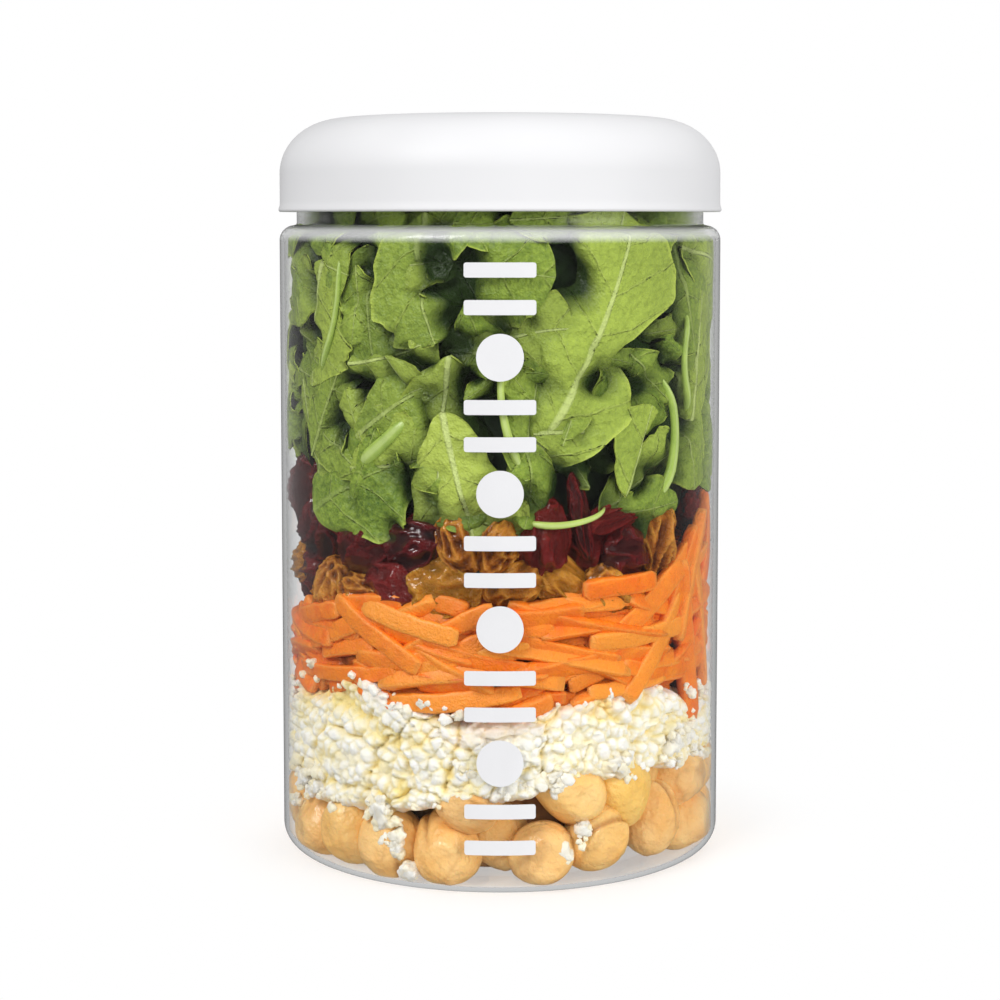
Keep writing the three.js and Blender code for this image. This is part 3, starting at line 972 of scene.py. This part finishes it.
def shred(batch, rng, bearing, z, length, lean, width, deep):
    """One shred of carrot: a bent bar with crisp edges and cut ends, that follows the wall."""
    steps, sides = 14, 12
    thick = width * rng.uniform(0.45, 0.7)
    bend = rng.normal(0, 0.008)
    slope = rng.normal(0, 0.02)
    along = np.linspace(-0.5, 0.5, steps + 1) * length
    turn = np.radians(lean) + bend * along
    u, v = path_along(turn, length)
    taper = np.minimum(1, 0.7 + 4 * (0.5 - np.abs(along / length)))
    around = np.linspace(0, 2 * math.pi, sides, endpoint=False) + math.pi / sides
    twist = rng.normal(0, 0.35) + rng.normal(0, 0.02) * along
    across = 0.5 * width * taper[:, None] * squared(np.cos(around))
    inward = 0.5 * thick * taper[:, None] * squared(np.sin(around))
    across, inward = (
        across * np.cos(twist)[:, None] - inward * np.sin(twist)[:, None],
        across * np.sin(twist)[:, None] + inward * np.cos(twist)[:, None],
    )
    grain = noise(np.stack([along[:, None] + 0 * across, across * 3, inward * 3], -1), 2.5, bearing)
    across = across * (1 + 0.14 * grain)
    pu = u[:, None] - np.sin(turn)[:, None] * across
    pv = z + v[:, None] + np.cos(turn)[:, None] * across
    depth = pressed(deep + thick / 2 + inward + slope * along[:, None], GAP, 0.1)
    points = behind_wall(bearing, pu, depth, pv).reshape(-1, 3)
    # How far each point lies behind the wall, for the painted shade.
    behind = np.concatenate([depth.ravel(), [depth[0].mean(), depth[-1].mean()]])
    points = np.concatenate([points, [points[:sides].mean(0), points[-sides:].mean(0)]])
    # Lighter at the corners and the cut ends: painted highlight, and the paler cut flesh at the
    # ends.
    edge = np.tile(0.35 - 0.35 * np.cos(4 * around), steps + 1)
    edge[:sides] = edge[-sides:] = 0.9
    edge = np.concatenate([edge, [1, 1]])
    tint = rng.uniform(0, 1) ** 2
    faces = tube_faces(steps + 1, sides, flip=True)
    batch.add(points, faces, tint=tint, edge=edge, behind=behind)


def make_carrots(rng):
    """Placed shreds in front, then as many as it takes behind them and round the jar."""
    batch = Batch()
    for bearing, z, length, lean, width in FRONT_SHREDS:
        shred(batch, rng, bearing, z, length, lean, width, rng.uniform(0, 1.2))
    for i in range(INNER_SHREDS):
        bearing = rng.uniform(-180, 180)
        low, high = FETA_TOP(bearing) - 1.5, CARROTS_TOP(bearing) + 1
        z = rng.uniform(low + 1, high - 1)
        lean = rng.normal(0, 15)
        room = 2 * min(z - low, high - z) / max(abs(math.sin(math.radians(lean))), 0.05)
        length = min(rng.uniform(10, 28), max(room, 10))
        shred(batch, rng, bearing, z, length, lean, rng.uniform(3.0, 4.4), 1.2 + 5 * (i % 5) / 5)
    return batch.build("carrot_shreds", carrot_flesh(), "carrot", ["carrots"])


# ---- Dried fruit ----

# Fruit that shows at the front: bearing, height, length, width, lean of its long side, behind.
FRONT_RAISINS = [
    (-56, 57, 15, 11, 70, 0), (-38, 60, 16, 9, -8, 0.5), (-14, 64, 13, 11, -60, 0.8),
    (-16, 58.5, 22, 15, 8, 0), (1, 66, 13, 10, 60, 2), (17, 57, 23, 11, -38, 0),
    (30, 58, 15, 11, -35, 0.3), (48, 68, 20, 13, 85, 0), (-80, 60, 15, 9, 10, 0.5),
    (8, 62, 14, 10, 20, 2.5),
]
FRONT_CRANBERRIES = [
    (-77, 77, 17, 13, 80, 0), (-62, 71, 19, 14, 55, 0.3), (-36, 66.5, 18, 13, 20, 0),
    (-26, 67, 16, 12, 10, 0.2), (-79, 60, 14, 11, 0, 1), (11.5, 68, 17, 12, 85, 0),
    (22, 68, 15, 15, 70, 0), (35, 68, 13, 12, 0, 0.3), (36, 72, 18, 7, 14, 0),
    (22.5, 78.5, 18, 4.5, 103, 0), (82, 60, 11, 8, 30, 0.5), (-50, 77, 15, 11, 30, 1.5),
    (-33, 61.5, 17, 11, -15, 0.8),
]

# How many more of each kind there are, mostly round the back.
MORE_RAISINS = 24
MORE_CRANBERRIES = 25

# How wide the folds of each kind are and how deep, as shares of a fruit's half length.
GOLD_FOLDS = 0.4
RED_FOLDS = 0.48
FOLD_DEPTH = 0.34


def wrinkled(points, rng, shape, folds):
    """A dried fruit: an oval body with soft-crested folds that mostly run along it."""
    long_way = points * (0.7, 1.15, 1.15)
    warp = 0.3 * np.stack([noise(long_way, 0.8, rng.uniform(0, 40)) for _ in range(3)], -1)
    ridge = 1 - np.abs(noise(long_way + warp, folds, rng.uniform(0, 40)))
    fine = 1 - np.abs(noise(long_way + warp, folds * 0.5, rng.uniform(0, 40)))
    dent = noise(points, 1.1, rng.uniform(0, 40))
    crest = 0.72 * ridge**3 + 0.28 * fine**3
    relief = FOLD_DEPTH * (crest - 0.5)
    outline = 1 + 0.3 * relief + 0.13 * dent
    front = 1 + 1.5 * relief + 0.13 * dent
    swell = np.stack([outline, outline, front], -1)
    # The second result says how near a crest each point lies, for the painted shade and highlight in
    # the folds.
    return points * swell * shape, np.clip(1.2 * crest, 0, 1)


def fruit(batch, rng, unit, faces, form, place, folds, tint):
    """Lays one fruit with its broad side to the wall, and its long side at a lean."""
    length, width, lean = form
    shape, crest = wrinkled(unit, rng, (length / 2, width / 2, width * 0.36), folds)
    a = math.radians(lean)
    across = shape[:, 0] * math.cos(a) - shape[:, 1] * math.sin(a)
    up = shape[:, 0] * math.sin(a) + shape[:, 1] * math.cos(a)
    out = shape[:, 2] + rng.normal(0, 0.12) * across
    bearing = math.degrees(math.atan2(place[0], -place[1]))
    z = place[2] + up
    depth = inner_radius(z) - math.hypot(place[0], place[1]) - out
    body = behind_wall(bearing, across, pressed(depth, SMALL_GAP, 0.08), z)
    batch.add(body, [faces], crest=crest, tint=tint)


def fruit_places(rng, rows, count):
    """Where the front fruit and the rest round the jar end up, with each one's size and lean."""
    spots = [(bearing, z) for bearing, z, *_ in rows]
    bodies = [(length, width, lean) for _, _, length, width, lean, _ in rows]
    depths = [deep for *_, deep in rows]
    for i in range(count):
        bearing = rng.uniform(90, 270) if i % 4 else rng.uniform(-85, 85)
        low, high = CARROTS_TOP(bearing), FRUIT_TOP(bearing)
        spots.append((bearing, rng.uniform(low + 4, max(high - 3, low + 5))))
        bodies.append((rng.uniform(13, 17), rng.uniform(9, 12), rng.uniform(-60, 60)))
        depths.append(rng.uniform(0, 3) if i % 4 else rng.uniform(5, 8))
    return spots, bodies, depths


def make_dried_fruit(rng):
    """Raisins and cranberries, pushed apart together and then built as two pieces."""
    raisins = fruit_places(rng, FRONT_RAISINS, MORE_RAISINS)
    cranberries = fruit_places(rng, FRONT_CRANBERRIES, MORE_CRANBERRIES)
    spots = np.array(raisins[0] + cranberries[0])
    bodies = raisins[1] + cranberries[1]
    depths = np.array(raisins[2] + cranberries[2])
    thick = np.array([0.18 * (length + width) for length, width, _ in bodies])
    places = settle(spots, thick, shifted(CARROTS_TOP, -4), shifted(FRUIT_TOP, 6), depths)
    fine, coarse = ball(5), ball(4)
    gold, red = Batch(), Batch()
    first_red = len(raisins[0])
    for i, (body, place) in enumerate(zip(bodies, places)):
        if i < first_red:
            unit = fine if i < len(FRONT_RAISINS) else coarse
            fruit(gold, rng, *unit, body, place, GOLD_FOLDS, rng.uniform(0, 0.8) ** 2)
        else:
            unit = fine if i - first_red < len(FRONT_CRANBERRIES) else coarse
            fruit(red, rng, *unit, body, place, RED_FOLDS, rng.uniform(0, 0.9) ** 2)
    gold.build("golden_raisins", raisin_skin(), "raisin", ["dried_fruit"])
    red.build("dried_cranberries", cranberry_skin(), "cranberry")


# ---- Rocket leaves ----

# Leaves that show at the front: bearing and height of the middle, length, width, lean from
# upright, lobes, depth of the lobes, fold, how far behind the wall, tone from dark to pale.
FRONT_LEAVES = [
    (24, 108, 56, 36, 25, 1.5, 0.6, 0.08, 0.0, 0.42),
    (-54, 124, 20, 17, 100, 0, 0.0, 0.5, 0.5, 0.3),
    (-57, 112, 26, 25, 190, 0, 0.0, 0.25, 0.6, 0.45),
    (-36, 114, 27, 21, 175, 0, 0.0, 0.15, 1.6, 0.1),
    (-21, 121, 26, 23, 172, 1, 0.2, 0.2, 0.3, 0.2),
    (-3, 123, 27, 20, 95, 0, 0.0, 0.15, 1.0, 0.1),
    (0, 109, 30, 22, 70, 1, 0.3, 0.15, 1.6, 0.5),
    (57, 120, 30, 23, 165, 1, 0.2, 0.3, 1.0, 0.12),
    (64, 105, 27, 18, 10, 0, 0.0, 0.3, 0.6, 0.4),
    (38, 102, 25, 21, 175, 0, 0.0, 0.15, 2.0, 0.0),
    (-29, 106, 21, 15, 75, 0, 0.0, 0.6, 0.3, 0.4),
    (-24, 98, 30, 20, 60, 1.5, 0.35, 0.3, 1.2, 0.2),
    (-15, 93, 27, 22, 185, 1, 0.3, 0.2, 0.6, 0.5),
    (-28, 84.5, 22, 19, 80, 0, 0.0, 0.1, 0.4, 0.4),
    (-42, 80, 27, 26, 65, 0, 0.0, 0.08, 0.2, 0.0),
    (-9, 77, 38, 26, 165, 1, 0.25, 0.12, 0.5, 0.75),
    (-11, 82, 21, 15, 160, 0, 0.0, 0.1, 0.2, 0.1),
    (8, 81, 17, 13, 180, 0, 0.0, 0.1, 0.2, 0.08),
    (41, 81, 25, 16, 60, 1, 0.2, 0.4, 0.5, 0.4),
    (40, 75, 21, 12, 85, 2, 0.4, 0.5, 0.6, 0.1),
    (38, 87, 19, 14, 20, 0, 0.0, 0.3, 0.6, 0.35),
    (60, 90, 25, 17, 170, 1, 0.3, 0.3, 0.8, 0.25),
    (-50, 97, 28, 14, 30, 2, 0.5, 0.5, 0.8, 0.15),
    (-60, 91, 25, 16, 160, 1, 0.3, 0.4, 1.0, 0.35),
    (-47, 87, 26, 12, -60, 1.5, 0.4, 0.5, 0.8, 0.15),
    (26, 91, 28, 16, 95, 1, 0.3, 0.2, 1.6, 0.45),
    (8, 95, 26, 16, 10, 1, 0.3, 0.2, 1.0, 0.2),
    (-66, 102, 24, 16, 100, 1.5, 0.4, 0.4, 1.2, 0.2),
    (-70, 122, 24, 20, 150, 0, 0.0, 0.2, 0.3, 0.3),
    (-74, 111, 24, 18, 20, 1, 0.3, 0.2, 0.3, 0.2),
    (71, 125, 24, 18, 100, 0, 0.0, 0.2, 0.3, 0.4),
    (76, 112, 26, 18, 10, 1, 0.3, 0.2, 0.3, 0.25),
    (78, 96, 26, 16, 160, 1, 0.3, 0.2, 0.3, 0.2),
    (-76, 94, 26, 16, -20, 1, 0.3, 0.2, 0.3, 0.2),
]

# Stalks that show at the front: bearing and height of the middle, length, lean from level, how
# far it bends in degrees, width.
FRONT_STEMS = [
    (-31, 89, 16, 39, 12, 3.4), (49, 89, 28, 86, 70, 2.3), (57, 104, 24, 95, -90, 1.7),
    (2, 94, 24, 103, -40, 2.0), (18, 74, 18, 6, 35, 1.6), (-48, 114, 30, 72, 60, 1.5),
]

# How many more leaves there are: round inside the neck, small ones between the large ones in
# front, and round the back. Then the stalks round the back.
COLLAR_LEAVES = 18
SMALL_LEAVES = 44
BACK_LEAVES = 60
BACK_STEMS = 9

# How thick a leaf is, and how near the wall it comes.
LEAF_THICK = 0.3
LEAF_GAP = 0.3

# Rows along and columns across a leaf.
FINE_GRID = (44, 13)
MEDIUM_GRID = (28, 9)
SMALL_GRID = (20, 7)


def leaf_blade(length, width, lobes, lobe_depth, phase, rows, columns):
    """A flat rocket leaf as a grid: x across, y along, and what its veins need."""
    t = np.linspace(0, 1, rows)[:, None]
    s = np.linspace(-1, 1, columns)[None, :]
    blade = np.sin(math.pi * t**1.2) ** 0.5
    side = np.where(s < 0, phase, phase + 0.25)
    notch = 0.5 - 0.5 * np.cos(2 * math.pi * (lobes * (t - 1) + side * (lobes > 0)))
    tip = np.clip((t - 0.72) / 0.15, 0, 1)
    half = 0.5 * width * blade * (1 - lobe_depth * (1 - tip) * notch**1.5)
    half = half * (1 + 0.06 * np.sin(19 * t + 5 * phase + 2 * s) + 0.03 * np.sin(47 * t + s)) + 0.3
    x = s * half
    y = length * (t - 0.5) + 0.35 * np.abs(x) * np.sin(math.pi * t)
    return t, s, x, y


def leaf_lift(rng, t, s, x, y, fold, deep):
    """How far a leaf rises from flat at each point: folded, tilted, creased and curled."""
    start = rng.uniform(0, 6.3)
    ripples = rng.uniform(1.0, 2.5)
    tilt, pitch = rng.normal(0, 0.5, 2) * (1, 0.5) * (1 if deep > 0.45 else 0.25)
    flat = np.stack([x, y, 0 * x], -1)
    creases = 3.4 * noise(flat, 8.5, rng.uniform(0, 30)) + 1.7 * noise(flat, 3.4, start)
    frill = np.sin(2 * math.pi * ripples * t + start + 1.5 * s)
    curl = rng.uniform(1.0, 5.0) * np.clip(np.abs(s) - 0.45, 0, 1) ** 1.5
    return fold * np.abs(x) + tilt * x + pitch * y + creases + curl * (0.6 + frill) * 2.0


def thin_sheet(front, thick):
    """Points and faces of a closed sheet with this side to the wall, thickened away from it."""
    rows, columns = front.shape[:2]
    count = rows * columns
    normal = np.cross(np.gradient(front, axis=1), np.gradient(front, axis=0))
    normal /= np.linalg.norm(normal, axis=-1, keepdims=True) + 1e-9
    inwards = (normal * front * (1, 1, 0)).sum() < 0
    back = front + thick * (normal if inwards else -normal)
    points = np.concatenate([front.reshape(-1, 3), back.reshape(-1, 3)])
    index = np.arange(count).reshape(rows, columns)
    border = np.concatenate([index[0], index[1:, -1], index[-1, -2::-1], index[-2:0:-1, 0]])
    after = np.roll(border, -1)
    rim = np.stack([border, after, after + count, border + count], -1)
    sheet = grid_faces(rows, columns, flip=inwards)
    under = grid_faces(rows, columns, flip=not inwards) + count
    return points, [sheet, under, rim[:, ::-1] if inwards else rim]


def add_leaf(blades, rng, spot, phase, grid=MEDIUM_GRID):
    """One leaf laid in the shell behind the wall."""
    bearing, z, length, width, lean, lobes, lobe_depth, fold, deep, tone = spot
    t, s, x, y = leaf_blade(length, width, lobes, lobe_depth, phase, *grid)
    curve = rng.normal(0, 0.3) / length
    lift = leaf_lift(rng, t, s, x, y, fold, deep)
    base = math.radians(-lean)
    bend = curve * y
    cx = np.sin(bend) / curve
    cy = (1 - np.cos(bend)) / curve
    u = -math.sin(base) * cx - math.cos(base) * cy + np.cos(base + bend) * x
    v = math.cos(base) * cx - math.sin(base) * cy + np.sin(base + bend) * x
    height = np.clip(z + v, FRUIT_TOP(bearing) - 9, NECK_Z + 6)
    clear = 0.6 * deep + pressed(0.4 * deep + lift, LEAF_GAP, 0.3)
    points, faces = thin_sheet(behind_wall(bearing, u, clear, height), LEAF_THICK)
    rib_half_width = width / (24 if grid == FINE_GRID else 34)

    def both_sides(field):
        return np.tile(np.broadcast_to(field, x.shape).ravel(), 2)

    blades.add(
        points,
        faces,
        tint=tone,
        rib=both_sides(np.abs(x) / rib_half_width),
        vein=both_sides((y - 0.75 * np.abs(x)) / 9),
        along=both_sides(t),
        # How far out across the blade each point lies, for the painted highlight on the margin.
        edge=both_sides(np.abs(s)),
        # How far each point lies behind the wall, for the painted shade.
        behind=both_sides(clear),
    )


def stalk(batch, spine, thick, tint):
    """A tapered stalk along a line of points, pressed a little flat where it meets the wall."""
    sides = 14
    ahead = np.gradient(spine, axis=0)
    ahead /= np.linalg.norm(ahead, axis=1, keepdims=True) + 1e-9
    across = np.cross(ahead, spine * (1, 1, 0))
    across /= np.linalg.norm(across, axis=1, keepdims=True) + 1e-9
    lift = np.cross(across, ahead)
    turn = np.linspace(0, 2 * math.pi, sides, endpoint=False)[None, :, None]
    ring = across[:, None] * np.cos(turn) + lift[:, None] * np.sin(turn)
    points = (spine[:, None] + ring * thick[:, None, None]).reshape(-1, 3)
    keep_inside(points, SMALL_GAP)
    points = np.concatenate([points, spine[:1], spine[-1:]])
    stripe = np.tile(np.abs(np.sin(turn)).ravel(), len(spine))
    stripe = np.concatenate([stripe, [0, 0]])
    batch.add(points, tube_faces(len(spine), sides), tint=tint, stripe=stripe)


def add_stem(stems, bearing, z, length, lean, bend, width, deep, tint):
    """A stalk that follows the wall, bends evenly, and dips behind the leaves at both ends."""
    steps = 16
    along = np.linspace(-0.5, 0.5, steps)
    u, v = path_along(np.radians(lean + bend * along), length)
    height = np.clip(z + v, 0, NECK_Z + 2)
    thick = 0.5 * width * np.linspace(1, 0.6, steps) * (1 - 0.6 * np.abs(2 * along) ** 6)
    r = inner_radius(height) - 0.7 * thick - deep - 3.0 * np.abs(2 * along) ** 4
    spine = wall_point(bearing + np.degrees(u / INNER_RADIUS), r, height)
    stalk(stems, spine, thick, tint)


def make_leaves(rng):
    """The rocket: placed leaves and stalks in front, then the rest round the jar."""
    blades, stems = Batch(), Batch()
    for i, (*place, deep, tone) in enumerate(FRONT_LEAVES):
        spot = (*place, deep + 0.12 * (i % 5), tone)
        add_leaf(blades, rng, spot, GOLDEN * i % 1, FINE_GRID)
    for row in FRONT_STEMS:
        add_stem(stems, *row, 0.0, rng.uniform(0.2, 0.7))
    for bearing in np.arange(-180, 180, 360 / COLLAR_LEAVES):
        shape = (rng.uniform(20, 28), rng.uniform(12, 16), rng.normal(90, 12), 0, 0.0)
        spot = (bearing, NECK_Z + rng.uniform(0, 3), *shape, 0.1, rng.uniform(0.2, 0.8))
        add_leaf(blades, rng, (*spot, rng.uniform(0, 0.2)), 0.5)
    for i in range(SMALL_LEAVES):
        bearing = rng.uniform(-78, 78)
        z = rng.uniform(FRUIT_TOP(bearing) + 6, NECK_Z - 6)
        length = rng.uniform(9, 17)
        spot = (bearing, z, length, length * rng.uniform(0.5, 0.9), rng.uniform(0, 360))
        form = (rng.choice([0, 1, 1.5]), rng.uniform(0.2, 0.5), rng.uniform(0.3, 0.9))
        spot = (*spot, *form, 0.3 + 0.7 * (i % 4), rng.uniform(0, 0.6))
        add_leaf(blades, rng, spot, GOLDEN * i % 1, SMALL_GRID)
    for i in range(BACK_LEAVES):
        bearing = 80 + 200 * (GOLDEN * i % 1)
        z = rng.uniform(FRUIT_TOP(bearing) + 8, NECK_Z - 6)
        length = rng.uniform(20, 36)
        spot = (bearing, z, length, length * rng.uniform(0.5, 0.9), rng.uniform(0, 360))
        form = (rng.choice([0, 1, 1.5, 2]), rng.uniform(0.1, 0.45), rng.choice([0.1, 0.3, 0.6]))
        spot = (*spot, *form, 0.1 + 0.35 * (i % 7), rng.uniform(0, 0.8) ** 1.5)
        add_leaf(blades, rng, spot, GOLDEN * i % 1)
    for _ in range(BACK_STEMS):
        bearing = rng.uniform(95, 265)
        z = rng.uniform(FRUIT_TOP(bearing) + 4, NECK_Z - 6)
        deep = rng.uniform(0.3, 2.5)
        lean, bend = rng.uniform(0, 180), rng.normal(0, 40)
        width = rng.uniform(1.4, 2.2)
        length = rng.uniform(16, 32)
        add_stem(stems, bearing, z, length, lean, bend, width, deep, rng.uniform(0, 0.6))
    blades.build("rocket_blades", leaf_skin(), "leaf", ["rocket_leaves"])
    stems.build("rocket_stems", leaf_stem(), "leaf_stem")


# ---- Cores ----


def make_core(name, material, slot, low, high, inset):
    """The smaller body inside a layer, with a rough side."""
    columns, rows = 120, 14
    bearing = np.linspace(-180, 180, columns, endpoint=False)[None, :]
    share = np.linspace(0, 1, rows)[:, None]
    bottom, top = low(bearing), high(bearing)
    z = bottom + share * (top - bottom)
    flat = wall_point(bearing, INNER_RADIUS + 0 * z, z)
    r = inner_radius(z) - inset + 1.2 * noise(flat, 6) + 0.5 * noise(flat, 2.5)
    points = wall_point(bearing, r, z).reshape(-1, 3)
    middles = [(0, 0, float(bottom.mean())), (0, 0, float(top.mean()))]
    batch = Batch()
    batch.add(np.concatenate([points, middles]), tube_faces(rows, columns))
    return batch.build(name, material, slot)


def make_cores():
    """The four cores. Feta has none, as its mass is a tube that hides what is behind it."""
    # Each core is coloured darker than its food, as painted shade in the gaps between the pieces.
    pale = shaded_core("core_pea", (0.2, 0.08, 0.02), (0.45, 0.22, 0.07), 6)
    rust = shaded_core("core_carrot", (0.25, 0.04, 0.005), (0.6, 0.13, 0.01), 5)
    wine = shaded_core("core_fruit", (0.01, 0.004, 0.004), (0.06, 0.015, 0.008), 6)
    dark = shaded_core("core_leaf", (0.004, 0.01, 0.003), (0.02, 0.045, 0.01), 5)
    start, finish = level(PUNT_LIFT + WALL + 0.5), level(NECK_Z + 2)
    make_core("core_chickpeas", pale, "chickpea", start, CHICKPEAS_TOP, 12)
    make_core("core_carrots", rust, "carrot", shifted(FETA_TOP, -2), CARROTS_TOP, 8.5)
    make_core("core_fruit", wine, "cranberry", shifted(CARROTS_TOP, -2), FRUIT_TOP, 10)
    make_core("core_leaves", dark, "leaf", shifted(FRUIT_TOP, -2), finish, 7.5)


# ---- Stage ----

FLOOR_RADIUS = 0.36
LIGHT_TARGET = Vector((0, 0, 0.075))


def make_camera():
    distance, height, pitch = 0.476, 0.1329, 4.771
    data = bpy.data.cameras.new("camera")
    data.sensor_width = 36
    data.lens = 80.61
    data.shift_y = -0.095
    camera = new_object("camera", data)
    camera.location = (0, -distance, height)
    camera.rotation_euler = (math.radians(90 - pitch), 0, 0)
    bpy.context.scene.camera = camera


def area_light(name, place, size, power, gloss=True):
    data = bpy.data.lights.new(name, "AREA")
    data.shape = "RECTANGLE"
    data.size, data.size_y = size
    data.energy = power
    light = new_object(name, data)
    light.location = place
    light.rotation_euler = (LIGHT_TARGET - Vector(place)).to_track_quat("-Z", "Y").to_euler()
    light.visible_glossy = gloss


def make_world():
    """A white backdrop with a dim room in front of it, so that the jar's gloss stays clear."""
    world = bpy.data.worlds.new("studio_white")
    bpy.context.scene.world = world
    world.use_nodes = True
    background = world.node_tree.nodes["Background"]
    background.inputs["Color"].default_value = (1, 1, 1, 1)
    world.node_tree.links.new(strength_by_ray(world.node_tree), background.inputs["Strength"])


def make_floor():
    made = bmesh.new()
    bmesh.ops.create_circle(made, cap_ends=True, segments=128, radius=FLOOR_RADIUS)
    mesh = bpy.data.meshes.new("floor")
    made.to_mesh(mesh)
    made.free()
    mesh.materials.append(floor_white())
    floor = new_object("floor", mesh)
    floor.location = (0, 0, -0.0001)
    floor.visible_glossy = False


def make_stage():
    scene = bpy.context.scene
    scene.view_settings.view_transform = "Standard"
    scene.cycles.diffuse_bounces = 3
    scene.cycles.glossy_bounces = 3
    scene.cycles.caustics_reflective = False
    scene.cycles.caustics_refractive = False
    make_world()
    make_floor()
    area_light("key", (-0.42, -0.56, 0.66), (0.36, 0.36), 4.7)
    area_light("fill", (0.68, -0.56, 0.24), (0.5, 0.5), 4.4, gloss=False)
    area_light("back", (0.3, 0.75, 0.45), (0.5, 0.5), 3.0, gloss=False)


def main():
    make_camera()
    make_stage()
    make_jar()
    make_lid()
    make_print()
    make_cores()
    make_chickpeas(np.random.default_rng(3))
    make_feta(np.random.default_rng(5))
    make_crumbs(np.random.default_rng(7))
    make_carrots(np.random.default_rng(9))
    make_dried_fruit(np.random.default_rng(13))
    make_leaves(np.random.default_rng(17))


main()
